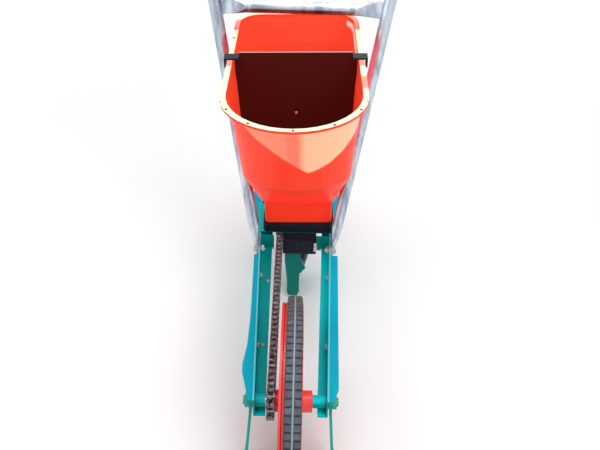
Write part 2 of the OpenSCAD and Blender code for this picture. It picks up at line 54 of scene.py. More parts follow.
# Main places
FRONT_Y = -0.312354


def y_at(length):
    """Frame Y of a length counted to the rear from the front axle."""
    return length + FRONT_Y


AXLE = Vector((0.0, FRONT_Y, 0.180))
FRONT_WHEEL = AXLE + Vector((0.003, 0.0, 0.0))
TYRE_R = 0.180
TYRE_HALF = 0.013
TYRE_DEPTH = 0.0168
HUB_HALF = 0.0335
METER_AXIS = Vector((0.0, y_at(0.443), 0.172))
PRESS_AXIS = Vector((0.0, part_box("press_disc")[0][1] / 2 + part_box("press_disc")[1][1] / 2, 0.105))
PRESS_R = 0.105
PRESS_HALF = 0.024
CHAIN_X = -0.034
CHAIN_PITCH = 0.0127
FRONT_TEETH = 14
METER_TEETH = 10
RIM_Z = 0.626
RAIL_SPLAY = math.radians(1.8)
RAIL_HALF = 0.064
RAIL_LEN = 0.566
HOPPER_LEAN = math.radians(2.0)
HOPPER_PIVOT = (0.006, 0.228)
# Where colours of the front legs and axle fade in, along Y
AXLE_FADE = (-0.27, -0.29)


# Shader writing
class Wire:
    """A value on its way through a shader, with arithmetic."""

    def __init__(self, tree, socket):
        self.tree = tree
        self.socket = socket

    def calc(self, operation, *values, clamp=False):
        math_node = self.tree.nodes.new("ShaderNodeMath")
        math_node.operation = operation
        math_node.use_clamp = clamp
        for slot, value in zip(math_node.inputs, values):
            plug(self.tree, slot, value)
        return Wire(self.tree, math_node.outputs[0])

    def __add__(self, other):
        return self.calc("ADD", self, other)

    def __radd__(self, other):
        return self.calc("ADD", other, self)

    def __sub__(self, other):
        return self.calc("SUBTRACT", self, other)

    def __rsub__(self, other):
        return self.calc("SUBTRACT", other, self)

    def __mul__(self, other):
        return self.calc("MULTIPLY", self, other)

    def __rmul__(self, other):
        return self.calc("MULTIPLY", other, self)

    def __pow__(self, other):
        return self.calc("POWER", self, other)

    def highest(self, other):
        return self.calc("MAXIMUM", self, other)

    def size(self):
        return self.calc("ABSOLUTE", self)

    def clamped(self):
        return self.calc("ADD", self, 0.0, clamp=True)


def plug(tree, slot, value):
    if isinstance(value, Wire):
        tree.links.new(value.socket, slot)
    elif value is not None:
        if slot.type == "RGBA" and len(value) == 3:
            value = (*value, 1.0)
        slot.default_value = value


def around(across, up):
    """Distance from an axis, from two offsets."""
    return (across * across + up * up) ** 0.5


class Nodes:
    """A node tree, emptied at first and filled through its methods."""

    def __init__(self, tree):
        self.tree = tree
        self.tree.nodes.clear()

    def node(self, kind, settings=None, **values):
        made = self.tree.nodes.new(kind)
        for key, value in (settings or {}).items():
            setattr(made, key, value)
        for key, value in values.items():
            plug(self.tree, made.inputs[key.replace("_", " ")], value)
        return made

    def wire(self, kind, settings=None, **values):
        return Wire(self.tree, self.node(kind, settings, **values).outputs[0])


class Finish(Nodes):
    """One material: a Principled shader and the nodes that feed it."""

    def __init__(self, name, **fixed):
        self.material = bpy.data.materials.new(name)
        self.material.use_nodes = True
        super().__init__(self.material.node_tree)
        self.shader = self.node("ShaderNodeBsdfPrincipled")
        out = self.node("ShaderNodeOutputMaterial")
        self.tree.links.new(self.shader.outputs[0], out.inputs[0])
        self.feed(**fixed)
        where = self.node("ShaderNodeTexCoord")
        self.place = Wire(self.tree, where.outputs["Object"])
        self.facing = Wire(self.tree, where.outputs["Normal"])

    def feed(self, **values):
        for key, value in values.items():
            plug(self.tree, self.shader.inputs[key.replace("_", " ")], value)

    def axes(self, vector=None):
        split = self.node("ShaderNodeSeparateXYZ", Vector=vector or self.place)
        return [Wire(self.tree, split.outputs[i]) for i in range(3)]

    def upright_axes(self):
        """Coordinates with the hopper's lean taken out."""
        x, y, z = self.axes()
        across, up = x - HOPPER_PIVOT[0], z - HOPPER_PIVOT[1]
        cos, sin = math.cos(HOPPER_LEAN), math.sin(HOPPER_LEAN)
        return (across * cos + up * sin + HOPPER_PIVOT[0], y,
                up * cos - across * sin + HOPPER_PIVOT[1])

    def scaled(self, factors):
        """Places drawn out or pressed flat, for streaks."""
        made = self.node("ShaderNodeVectorMath", {"operation": "MULTIPLY"})
        plug(self.tree, made.inputs[0], self.place)
        plug(self.tree, made.inputs[1], factors)
        return Wire(self.tree, made.outputs[0])

    def noise(self, scale, detail=3.0, roughness=0.55, vector=None):
        return self.wire("ShaderNodeTexNoise", Vector=vector or self.place, Scale=scale, Detail=detail,
                         Roughness=roughness)

    def band(self, value, low, high):
        """0 below low, 1 above high, smooth between."""
        return self.wire("ShaderNodeMapRange", {"interpolation_type": "SMOOTHSTEP"}, Value=value,
                         From_Min=low, From_Max=high, To_Min=0.0, To_Max=1.0)

    def between(self, value, start, full, fade, end):
        """0 up to start, 1 from full to fade, 0 again from end."""
        return self.band(value, start, full) * self.band(value, end, fade)

    def near(self, value, middle, outer, inner):
        """1 within inner of the middle, 0 beyond outer."""
        return self.band((value - middle).size(), outer, inner)

    def blend(self, factor, first, second):
        """Colour that goes from the first to the second with the factor."""
        made = self.node("ShaderNodeMix", {"data_type": "RGBA"})
        plug(self.tree, made.inputs[0], factor)
        plug(self.tree, made.inputs[6], first)
        plug(self.tree, made.inputs[7], second)
        return Wire(self.tree, made.outputs[2])

    def relief(self, height, distance, strength):
        self.feed(Normal=self.wire("ShaderNodeBump", Height=height, Distance=distance, Strength=strength))


# Finishes
BLACK = (0.0, 0.0, 0.0)


def hopper_plastic():
    f = Finish("hopper_plastic", Coat_Roughness=0.1, IOR=1.45, Specular_IOR_Level=0.07,
               Emission_Strength=0.16)
    x, y, z = f.upright_axes()
    nx, ny, nz = f.axes(f.facing)
    tone = f.noise(9.0, 4.0)
    red = f.blend(f.band(tone, 0.35, 0.7), (0.98, 0.042, 0.012), (1.0, 0.052, 0.017))
    red = f.blend(f.band(z, 0.36, 0.27) * 0.35, red, (0.86, 0.030, 0.011))
    # Painted light on the upper part of the front wall: a pale, glowing patch standing for sunlight
    # through the plastic, down to two slopes that meet right of the middle
    meet_x, meet_z = 0.0267, 0.4616
    off = x - meet_x
    edge = meet_z + (off * -1.08).highest(off * 0.35 + off * off * 7.0)
    soft = f.noise(60.0, 3.0) * 0.006 - 0.003
    painted_glow = f.band(z - edge + soft, -0.001, 0.007) * f.band(z, 0.616, 0.609)
    painted_glow = painted_glow * f.band(ny, -0.12, -0.35) * f.band(y, 0.0, -0.03)
    pale = f.blend(f.band(x, 0.010, 0.026), (1.0, 0.24, 0.15), (1.0, 0.56, 0.33))
    pale = f.blend(f.near(x, 0.0025, 0.013, 0.005) * 0.75, pale, (1.0, 0.15, 0.10))
    red = f.blend(painted_glow * 0.9, red, pale)
    # Cream seal on the rim's flange, rubbed pink by the hooks, on both sides behind them,
    # at the front right and on the rear right corner
    hooks_y, behind_y, front_y = 0.050, 0.207, -0.018
    flange = f.band(nz, 0.85, 0.95) * f.band(z, RIM_Z - 0.0035, RIM_Z - 0.0015)
    rubbed = f.near(y, behind_y, 0.026, 0.020).highest(f.near(y, hooks_y, 0.014, 0.010))
    rubbed = rubbed.highest(f.near(y, front_y, 0.026, 0.016) * f.band(x, 0.0, 0.02))
    rubbed = rubbed.highest(f.band(y, 0.200, 0.210) * f.band(x, 0.060, 0.075))
    worn = f.band(f.noise(14.0, 4.0, 0.6, f.scaled((1.0, 1.0, 0.0))), 0.62, 0.68) * 0.5
    seal = f.blend(worn.highest(rubbed * 0.9), (0.80, 0.71, 0.51), (0.88, 0.24, 0.18))
    colour = f.blend(flange, red, seal)
    # Inner walls painted lighter and more orange: painted light falling in from the open top
    inward = f.band(nx * x * -1.0 - ny * (y - 0.08), 0.0, 0.02) * f.band(z, 0.30, 0.45)
    colour = f.blend(inward * (1 - flange) * 0.8, colour, (1.0, 0.110, 0.052))
    # Painted highlight under the rim, inside the right rear
    painted_gleam = f.band(z - y * 0.11, 0.580, 0.587) * f.band(z, 0.620, 0.616) * f.band(nx, -0.66, -0.80)
    painted_gleam = painted_gleam * f.band(y, 0.10, 0.13) * f.band(x, 0.0, 0.05)
    colour = f.blend(painted_gleam, colour, (1.0, 0.82, 0.68))
    # Painted glow as emission, for light that comes through the plastic and back from its own walls: on
    # the inner walls, the outer walls near the top and bottom, strongest at the neck, and on the glowing
    # patch and the highlight
    outward = (1 - inward) * (f.band(z, 0.62, 0.50) * 0.7 + f.band(z, 0.38, 0.30) * 0.9)
    light = f.blend((inward * 0.9 + outward) * (1 - flange), BLACK, (1.0, 0.060, 0.024))
    neck = f.band(z, 0.40, 0.33) * (1 - 0.6 * f.band(z, 0.285, 0.275)) * (1 - inward)
    light = f.blend(neck, light, (2.0, 0.085, 0.060))
    light = f.blend(painted_glow * 0.9, light, (0.9, 0.45, 0.27))
    light = f.blend(painted_gleam, light, (1.0, 1.0, 0.85))
    f.feed(Base_Color=colour, Roughness=0.26 + 0.1 * f.noise(30.0) + 0.3 * flange, Emission_Color=light)
    f.relief(f.noise(45.0, 4.0), 0.0006, 0.2)
    return f.material


def divider_plastic():
    f = Finish("divider_plastic", Coat_Roughness=0.1, Specular_IOR_Level=0.3, Coat_Weight=0.25)
    _, y, z = f.upright_axes()
    scuff = f.band(f.noise(80.0, 6.0, 0.7, f.scaled((1.0, 1.0, 0.25))), 0.60, 0.75)
    body = f.blend(f.noise(8.0, 3.0), (0.020, 0.0045, 0.0045), (0.038, 0.0080, 0.0075))
    body = f.blend(scuff * 0.18, body, (0.11, 0.04, 0.036))
    # Painted highlight: a pale line along the top edge's front
    lip_highlight = f.band(z, 0.6305, 0.6315) * f.band(y, 0.0770, 0.0774)
    body = f.blend(lip_highlight * 0.9, body, (0.93, 0.62, 0.55))
    f.feed(Base_Color=body, Roughness=0.3 + 0.25 * scuff)
    f.relief(f.noise(120.0, 3.0), 0.0004, 0.3)
    return f.material


def frame_paint():
    f = Finish("frame_paint", Coat_Roughness=0.15, Specular_IOR_Level=0.06)
    x, y, z = f.axes()
    nx, _, nz = f.axes(f.facing)
    away = x.size()
    tone = f.noise(22.0, 5.0)
    # Painted light and shade by facing: upright faces darker, the bottom flanges lighter and lightest on
    # the right where the light falls, the top flange bluer as a painted sky reflection
    right = f.band(x, -0.01, 0.01)
    side = f.blend(tone, (0.0, 0.250, 0.210), (0.0, 0.350, 0.300))
    lower = f.blend(right, (0.0, 0.600, 0.590), (0.0, 0.740, 0.790))
    lower = f.blend(tone * 0.25, lower, (0.0, 0.280, 0.260))
    top = f.blend(tone, (0.0, 0.330, 0.440), (0.0, 0.415, 0.585))
    flat = f.blend(f.between(z, 0.185, 0.197, 0.2012, 0.2022), lower, top)
    paint = f.blend(f.band(nz, 0.35, 0.85), side, flat)
    # Right web's inner face catches the light, the opener stays in shade, the legs are paler
    web = f.band(nx, -0.6, -0.9) * f.between(x, 0.050, 0.056, 0.080, 0.085)
    paint = f.blend(web, paint, (0.0, 0.560, 0.580))
    opener = f.band(z, 0.166, 0.162) * f.band(away, 0.042, 0.036) * f.between(y, 0.04, 0.06, 0.16, 0.20)
    paint = f.blend(opener * 0.7, paint, (0.004, 0.120, 0.085))
    leg = f.band(z, 0.162, 0.154) * f.band(away, 0.064, 0.066) * f.band(y, *AXLE_FADE)
    paint = f.blend(leg * 0.6, paint, (0.02, 0.520, 0.420))
    dust = f.band(f.noise(140.0, 8.0, 0.7), 0.60, 0.74)
    paint = f.blend(dust * 0.10, paint, (0.22, 0.42, 0.40))
    # Painted highlight: a thin bright line along the fold of the rails
    fold = away * math.cos(RAIL_SPLAY) - (y - FRONT_Y) * math.sin(RAIL_SPLAY)
    fold_highlight = f.near(fold, 0.0635, 0.0014, 0.0005) * f.between(z, 0.1985, 0.1995, 0.2003, 0.2008)
    paint = f.blend(fold_highlight * 0.7, paint, (0.25, 0.70, 0.68))
    chip = f.band(f.noise(65.0, 8.0, 0.8), 0.695, 0.71)
    paint = f.blend(chip * 0.7, paint, (0.10, 0.10, 0.09))
    f.feed(Base_Color=paint, Roughness=0.28 + 0.3 * dust, Coat_Weight=0.04 - 0.03 * chip)
    f.relief(f.noise(260.0, 3.0) * 0.5 - chip, 0.0005, 0.35)
    return f.material


def wheel_paint():
    f = Finish("wheel_paint", Coat_Roughness=0.15, Specular_IOR_Level=0.25, Coat_Weight=0.25)
    x, y, z = f.axes()
    tone = f.noise(16.0, 5.0)
    red = f.blend(tone, (0.62, 0.036, 0.036), (0.86, 0.075, 0.070))
    # The hub's left end is painted darker than the rest
    hub = f.band(around(y - FRONT_Y, z - AXLE.z), 0.021, 0.019) * f.band(x, -0.008, -0.012)
    red = f.blend(hub * 0.65, red, (0.34, 0.022, 0.020))
    dust = f.band(f.noise(90.0, 7.0, 0.7), 0.52, 0.72)
    red = f.blend(dust * 0.22, red, (0.62, 0.24, 0.20))
    f.feed(Base_Color=red, Roughness=0.34 + 0.3 * dust)
    f.relief(f.noise(230.0, 3.0), 0.0004, 0.35)
    return f.material


def galvanised():
    f = Finish("galvanised", Metallic=1.0, Emission_Strength=0.5)
    x, _, z = f.axes()
    nx = f.axes(f.facing)[0]
    streak = f.noise(55.0, 6.0, 0.65, f.scaled((1.0, 1.0, 0.12)))
    spangle = f.wire("ShaderNodeTexVoronoi", Vector=f.place, Scale=260.0)
    tone = f.blend(f.band(streak, 0.34, 0.66), (0.22, 0.26, 0.33), (0.62, 0.67, 0.74))
    tone = f.blend(spangle * 0.35, tone, (0.50, 0.57, 0.68))
    stain = f.band(f.noise(70.0, 7.0, 0.75), 0.60, 0.72)
    tone = f.blend(stain * 0.35, tone, (0.42, 0.42, 0.42))
    # Red light off the hopper on the tubes' inner sides, stronger on the right
    lit = f.band(nx * x, -0.005, -0.060) * f.between(z, 0.36, 0.46, 0.600, 0.645)
    light = f.blend(lit * (0.3 + 0.7 * f.band(x, -0.05, 0.05)), BLACK, (0.85, 0.20, 0.28))
    f.feed(Base_Color=tone, Roughness=0.25 + 0.2 * streak + 0.15 * stain, Emission_Color=light)
    f.relief(streak + 0.4 * spangle, 0.0007, 0.3)
    return f.material


def zinc_steel():
    f = Finish("zinc_steel")
    x, y, _ = f.axes()
    fine = f.noise(300.0, 5.0)
    tone = f.blend(fine, (0.45, 0.46, 0.46), (0.72, 0.73, 0.72))
    rust = f.band(f.noise(120.0, 7.0, 0.7), 0.60, 0.74)
    tone = f.blend(rust * 0.35, tone, (0.30, 0.20, 0.13))
    # Outer ends of the front axle are painted over with the frame
    painted = f.band(x.size(), 0.0630, 0.0635) * f.band(y, *AXLE_FADE) * (1 - 0.6 * rust)
    tone = f.blend(painted, tone, f.blend(fine, (0.0, 0.24, 0.20), (0.0, 0.36, 0.31)))
    f.feed(Base_Color=tone, Roughness=0.32 + 0.3 * rust, Metallic=1 - painted)
    f.relief(fine, 0.0003, 0.3)
    return f.material


def chain_steel():
    f = Finish("chain_steel", Metallic=0.4, Specular_IOR_Level=0.3)
    grease = f.band(f.noise(170.0, 6.0, 0.7), 0.44, 0.62)
    tone = f.blend(grease, (0.24, 0.24, 0.25), (0.020, 0.019, 0.019))
    f.feed(Base_Color=tone, Roughness=0.32 + 0.3 * grease)
    f.relief(f.noise(420.0, 3.0), 0.0003, 0.4)
    return f.material


def black_plastic():
    f = Finish("black_plastic", Specular_IOR_Level=0.12)
    dust = f.band(f.noise(110.0, 8.0, 0.7), 0.50, 0.74)
    tone = f.blend(dust * 0.3, (0.012, 0.014, 0.022), (0.058, 0.062, 0.078))
    f.feed(Base_Color=tone, Roughness=0.40 + 0.3 * dust)
    f.relief(f.noise(700.0, 2.0), 0.0003, 0.35)
    return f.material


def grey_plastic():
    f = Finish("grey_plastic")
    dust = f.band(f.noise(100.0, 7.0, 0.7), 0.48, 0.74)
    tone = f.blend(dust * 0.4, (0.045, 0.047, 0.055), (0.16, 0.15, 0.14))
    f.feed(Base_Color=tone, Roughness=0.45 + 0.25 * dust)
    f.relief(f.noise(500.0, 2.0), 0.0003, 0.35)
    return f.material


def grip_rubber():
    f = Finish("grip_rubber")
    dust = f.band(f.noise(120.0, 6.0, 0.7), 0.50, 0.75)
    tone = f.blend(dust * 0.5, (0.016, 0.016, 0.017), (0.070, 0.068, 0.064))
    f.feed(Base_Color=tone, Roughness=0.62 + 0.2 * dust)
    f.relief(f.noise(600.0, 3.0), 0.0005, 0.4)
    return f.material


def tyre_rubber():
    f = Finish("tyre_rubber")
    _, y, z = f.axes()
    dust = f.band(f.noise(75.0, 8.0, 0.7), 0.40, 0.68)
    tone = f.blend(dust * 0.65, (0.040, 0.052, 0.066), (0.13, 0.15, 0.175))
    # Front tyre: dark painted shade in the cross grooves, pale painted highlight along the middle rib
    height = around(y - FRONT_Y, z - AXLE.z) - TYRE_R
    front = f.band(y, 0.0, -0.05)
    groove = front * f.between(height, -0.009, -0.006, -0.0030, -0.0018)
    rib = front * f.band(height, -0.0010, -0.0004)
    tone = f.blend(groove * 0.85, tone, (0.012, 0.016, 0.020))
    tone = f.blend(rib * 0.8, tone, (0.27, 0.30, 0.33))
    f.feed(Base_Color=tone, Roughness=0.66 + 0.2 * dust)
    f.relief(f.noise(520.0, 4.0), 0.0006, 0.4)
    return f.material


FINISHES = {make.__name__: make() for make in (
    hopper_plastic, divider_plastic, frame_paint, wheel_paint, galvanised, zinc_steel, chain_steel,
    black_plastic, grey_plastic, grip_rubber, tyre_rubber)}

for part in frame["record"]["subparts"]:
    carried = frame["nodes"][part["node"]]
    for holder in carried.material_slots:
        holder.material = FINISHES[part["material_slot"]]


# Mesh helpers
def piece(name, bm, slot, body, smooth):
    """Turns a bmesh into a piece on a body, with edges sharp where they bend past smooth degrees."""
    mesh = bpy.data.meshes.new(name)
    bmesh.ops.recalc_face_normals(bm, faces=bm.faces)
    bm.to_mesh(mesh)
    bm.free()
    made = bpy.data.objects.new(name, mesh)
    scene.collection.objects.link(made)
    mesh.materials.append(FINISHES[slot])
    mesh.shade_smooth()
    mesh.set_sharp_from_angle(angle=math.radians(smooth))
    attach(made, body)
    return made


def ring_face(bm, rows):
    """Joins rows of points, each row a closed loop, into a skin."""
    for first, second in zip(rows, rows[1:]):
        count = len(first)
        for i in range(count):
            j = (i + 1) % count
            bm.faces.new((first[i], first[j], second[j], second[i]))


def block(bm, centre, size, chamfer):
    """Box with its edges broken."""
    verts = bmesh.ops.create_cube(bm, size=1.0)["verts"]
    place = Matrix.Translation(centre) @ Matrix.Diagonal((*size, 1.0))
    bmesh.ops.transform(bm, matrix=place, verts=verts)
    edges = [e for e in bm.edges if e.verts[0] in verts]
    bmesh.ops.bevel(bm, geom=edges, offset=chamfer, segments=2, affect="EDGES", profile=0.6)


def lathe(bm, place, profile, sides):
    """Turns (radius, height) rows about the local Z axis of a placement."""
    rows = []
    for r, h in profile:
        if r < 1e-9:
            rows.append([bm.verts.new(place @ Vector((0, 0, h)))])
            continue
        turns = [2 * math.pi * k / sides for k in range(sides)]
        rows.append([bm.verts.new(place @ Vector((r * math.cos(a), r * math.sin(a), h))) for a in turns])
    for first, second in zip(rows, rows[1:]):
        for k in range(sides):
            j = (k + 1) % sides
            if len(first) == 1:
                bm.faces.new((first[0], second[j], second[k]))
            elif len(second) == 1:
                bm.faces.new((first[k], first[j], second[0]))
            else:
                bm.faces.new((first[k], first[j], second[j], second[k]))


def between_points(start, end):
    """Frame with its origin at the start and Z towards the end, and the distance."""
    start, end = Vector(start), Vector(end)
    along = end - start
    return Matrix.Translation(start) @ along.to_track_quat("Z", "Y").to_matrix().to_4x4(), along.length


def rod(bm, start, end, radius, sides, chamfer):
    """Round bar with chamfered ends."""
    place, h = between_points(start, end)
    lathe(bm, place, [(0.0, 0.0), (radius - chamfer, 0.0), (radius, chamfer), (radius, h - chamfer),
                      (radius - chamfer, h), (0.0, h)], sides)


def hex_nut(bm, start, end, across_flats, bore=0.0):
    """Hexagon nut or head with its corners turned down, domed at the far end unless it has a bore."""
    place, h = between_points(start, end)
    r = across_flats / math.sqrt(3)
    cut = r * 0.1
    dome = 0.0 if bore else 0.0004
    lathe(bm, place, [(0.0, 0.0), (r - cut, 0.0), (r, cut * 0.6), (r, h - cut * 0.6), (r - cut * 1.1, h),
                      (bore or r * 0.4, h), (bore or r * 0.3, h + dome), (0.0, h)], 6)


# Tyres
def mirrored(half):
    """Whole profile, from left to right, of a right half that runs outwards."""
    return [(-x, r) for x, r in reversed(half)] + half


def tread(name, centre, profiles, node, body):
    """Closed skin of a tyre from one (x, radius) profile for each of its angles."""
    bm = bmesh.new()
    loops = []
    for a, profile in profiles:
        loops.append([bm.verts.new((centre.x + x, centre.y + r * math.cos(a), centre.z + r * math.sin(a)))
                      for x, r in profile])
    ring_face(bm, loops + loops[:1])
    made = piece(name, bm, "tyre_rubber", body, 32)
    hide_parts(node)


def front_tread():
    """Cross ribs with narrow grooves between them, and a raised rib round the middle."""
    lugs, groove = 94, 0.0022
    inner, shoulder, crown = TYRE_R - TYRE_DEPTH, TYRE_R - 0.010, TYRE_R - 0.0012
    profiles = []
    for k in range(lugs):
        for share, drop in ((0.0, 0.0), (0.05, groove), (0.19, groove), (0.24, 0.0)):
            half = [(0.0011, TYRE_R), (0.0016, crown - drop * 0.4), (TYRE_HALF * 0.45, crown - drop),
                    (TYRE_HALF - 0.0016, crown - 0.0008 - drop), (TYRE_HALF - 0.0002, TYRE_R - 0.0050),
                    (TYRE_HALF - 0.0004, shoulder), (TYRE_HALF - 0.0021, inner)]
            profiles.append((2 * math.pi * (k + share) / lugs, mirrored(half)))
    tread("front_tread", FRONT_WHEEL, profiles, "front_tyre", "front_wheel")


def press_tread():
    """Shallow blocks across the face, and a narrow channel round the middle."""
    steps, half_w, radius = 240, PRESS_HALF, PRESS_R
    profiles = []
    for k in range(steps):
        groove = 0.0016 if k % 5 == 0 else 0.0
        half = [(0.0008, radius - 0.0016), (0.0016, radius - groove), (half_w - 0.0050, radius - groove),
                (half_w - 0.0018, radius - 0.0022 - groove), (half_w, radius - 0.0052),
                (half_w - 0.003, radius - 0.016)]
        profiles.append((2 * math.pi * k / steps, mirrored(half)))
    tread("press_tread", PRESS_AXIS, profiles, "press_tyre", "press_wheel")


front_tread()


# Chain
def chain_route():
    """Pin places round both sprockets, in the same way as the solids."""
    r1 = CHAIN_PITCH / 2 / math.sin(math.pi / FRONT_TEETH)
    r2 = CHAIN_PITCH / 2 / math.sin(math.pi / METER_TEETH)
    span = Vector((METER_AXIS.y - AXLE.y, METER_AXIS.z - AXLE.z))
    gap = span.length
    lean = math.atan2(span.y, span.x)
    taper = math.asin((r1 - r2) / gap)
    run = gap * math.cos(taper)
    wrap1 = r1 * (math.pi + 2 * taper)
    wrap2 = r2 * (math.pi - 2 * taper)
    total = 2 * run + wrap1 + wrap2
    links = 2 * round(total / CHAIN_PITCH / 2)

    def at(angle, radius):
        return Vector((math.cos(angle), math.sin(angle))) * radius

    points = []
    for i in range(links):
        d = i * total / links
        if d < run:
            p = at(lean + math.pi / 2 - taper, r1) + at(lean - taper, 1.0) * d
        elif d < run + wrap2:
            p = span + at(lean + math.pi / 2 - taper - (d - run) / r2, r2)
        elif d < 2 * run + wrap2:
            p = span + at(lean - math.pi / 2 + taper, r2) - at(lean + taper, 1.0) * (d - run - wrap2)
        else:
            p = at(lean - math.pi / 2 + taper - (d - 2 * run - wrap2) / r1, r1)
        points.append(Vector((CHAIN_X, AXLE.y + p.x, AXLE.z + p.y)))
    return points


def waisted_plate(bm, p, q, x, thick):
    """Link plate with round ends and a narrow waist."""
    end_r, waist = 0.0052, 0.0036
    along = (q - p).normalized()
    across = Vector((0, -along.z, along.y))
    length = (q - p).length
    outline = []
    for centre, first in ((length, -0.5), (0.0, 0.5)):
        for k in range(7):
            a = math.pi * (first + k / 6)
            outline.append((centre + end_r * math.cos(a), end_r * math.sin(a)))
        outline.append((length / 2, waist if centre else -waist))
    sides = []
    for offset in (x, x + thick):
        start = p + Vector((offset, 0, 0))
        sides.append([bm.verts.new(start + along * u + across * v) for u, v in outline])
    bm.faces.new(sides[0])
    bm.faces.new(list(reversed(sides[1])))
    ring_face(bm, sides)


def drive_chain():
    """Rollers on pins, with inner and outer pairs of plates by turns."""
    bm = bmesh.new()
    plate_t, roller_half, pin_half = 0.0013, 0.0039, 0.0069
    points = chain_route()
    for i, p in enumerate(points):
        q = points[(i + 1) % len(points)]
        near = roller_half if i % 2 == 0 else roller_half + plate_t
        for x in (-near - plate_t, near):
            waisted_plate(bm, p, q, x, plate_t)
        for reach, radius, sides in ((roller_half, 0.0042, 14), (pin_half, 0.0019, 10)):
            rod(bm, p - Vector((reach, 0, 0)), p + Vector((reach, 0, 0)), radius, sides, 0.0004)
    made = piece("roller_chain", bm, "chain_steel", "frame", 35)
    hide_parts("chain")


drive_chain()


# Wheels
def hub_fittings():
    """Seals at the hub's ends and six bolts through the disc, with their nuts."""
    bm = bmesh.new()
    hub = Matrix.Translation(FRONT_WHEEL) @ Matrix.Rotation(math.radians(90), 4, "Y")
    bore, rim = 0.0078, 0.0140
    for s in (-1, 1):
        back, face = s * (HUB_HALF - 0.0030), s * (HUB_HALF + 0.0004)
        lathe(bm, hub, [(bore, back), (rim, back), (rim, face), (bore, face), (bore, back)], 48)
    piece("hub_seals", bm, "black_plastic", "front_wheel", 40)
    bm = bmesh.new()
    x, y, z = FRONT_WHEEL
    circle_r, flats, first = 0.046, 0.008, 12
    for k in range(6):
        a = math.radians(first + 60 * k)
        at = Vector((x, y + circle_r * math.cos(a), z + circle_r * math.sin(a)))
        for near, far in ((0.0008, 0.0055), (-0.0018, -0.0060)):
            hex_nut(bm, at + Vector((near, 0, 0)), at + Vector((far, 0, 0)), flats)
    piece("disc_bolts", bm, "zinc_steel", "front_wheel", 30)


hub_fittings()
press_tread()


# Handles
def handle_matrix(s):
    """Frames of the foot and of the grip run on one side."""
    lean, flare, bend = (math.radians(a) for a in (14.5, 8.7, 52.0))
    neck, upright_len, bend_r = 0.062, 0.570, 0.090
    foot_place = (0.079079, y_at(0.377), 0.184)
    foot = Matrix.Diagonal((s, 1, 1, 1)) @ Matrix.Translation(foot_place) \
        @ Matrix.Rotation(-RAIL_SPLAY, 4, "Z")
    upright = foot @ Matrix.Translation((neck * math.tan(flare), neck * math.tan(lean), neck)) \
        @ Matrix.Rotation(flare, 4, "Y") @ Matrix.Rotation(-lean, 4, "X")
    grip = upright @ Matrix.Translation((0, bend_r, upright_len)) @ Matrix.Rotation(-bend, 4, "X") \
        @ Matrix.Translation((0, -bend_r, 0))
    return foot, grip


def ribbed_grip(s, name, node):
    """Flange, rings along the hand's length, and a rounded closed end."""
    bm = bmesh.new()
    start, end, tube_r, flange_r, body_r, ring_r = 0.110, 0.235, 0.01155, 0.0190, 0.0141, 0.0149
    profile = [(tube_r, start), (flange_r - 0.001, start), (flange_r, start + 0.001),
               (flange_r, start + 0.004), (flange_r - 0.0008, start + 0.005), (0.0146, start + 0.0062)]
    h = start + 0.0085
    while h < end - 0.018:
        profile += [(body_r, h), (ring_r, h + 0.0006), (ring_r, h + 0.0026), (body_r, h + 0.0032)]
        h += 0.0050
    profile += [(0.0147, end - 0.0150), (ring_r, end - 0.0035), (0.0135, end - 0.0008), (0.0115, end),
                (0.0040, end), (0.0036, end - 0.0020), (0.0, end - 0.0020)]
    lathe(bm, handle_matrix(s)[1], profile, 56)
    made = piece(name, bm, "grip_rubber", "frame", 35)
    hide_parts(node)


def handle_fixings():
    """Nuts, washers and bolt ends at the feet of the handles."""
    bm = bmesh.new()
    web = 0.0032 + 0.003 / math.cos(RAIL_SPLAY)
    flats, washer_r, thread_r = 0.0130, 0.0085, 0.0040
    for s in (-1, 1):
        place = handle_matrix(s)[0]
        x = place.to_3x3() @ Vector((1, 0, 0))
        at = place.translation
        rod(bm, at - x * (web + 0.009), at + x * 0.0108, thread_r, 24, 0.0006)
        hex_nut(bm, at - x * (web + 0.0018), at - x * (web + 0.0067), flats, 0.0042)
        rod(bm, at - x * web, at - x * (web + 0.0016), washer_r, 32, 0.0003)
        hex_nut(bm, at + x * 0.0050, at + x * 0.0100, flats)
        rod(bm, at + x * 0.0031, at + x * 0.0048, washer_r, 32, 0.0003)
    made = piece("handle_nuts", bm, "zinc_steel", "frame", 30)
    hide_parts("handle_bolts")


ribbed_grip(-1, "grip_l", "grip_left")
ribbed_grip(1, "grip_r", "grip_right")
handle_fixings()


# Hopper fittings
def lean(x, y, z):
    """Point on the leaning hopper from its upright place, with y counted from the front axle."""
    pivot_x, pivot_z = HOPPER_PIVOT
    up = z - pivot_z
    cos, sin = math.cos(HOPPER_LEAN), math.sin(HOPPER_LEAN)
    return Vector((pivot_x + x * cos - up * sin, y_at(y), pivot_z + up * cos + x * sin))


def divider_rivet():
    """Pale rivet in the middle of the divider."""
    bm = bmesh.new()
    front, height, head_r = 0.388, 0.5140, 0.0030
    place = Matrix.Translation(lean(-0.0005, front, height)) @ Matrix.Rotation(math.radians(90), 4, "X")
    lathe(bm, place, [(0.0, -0.001), (head_r, -0.001), (head_r, 0.0004), (0.0020, 0.0012),
                      (0.0, 0.0014)], 24)
    piece("divider_rivet", bm, "zinc_steel", "partition", 35)


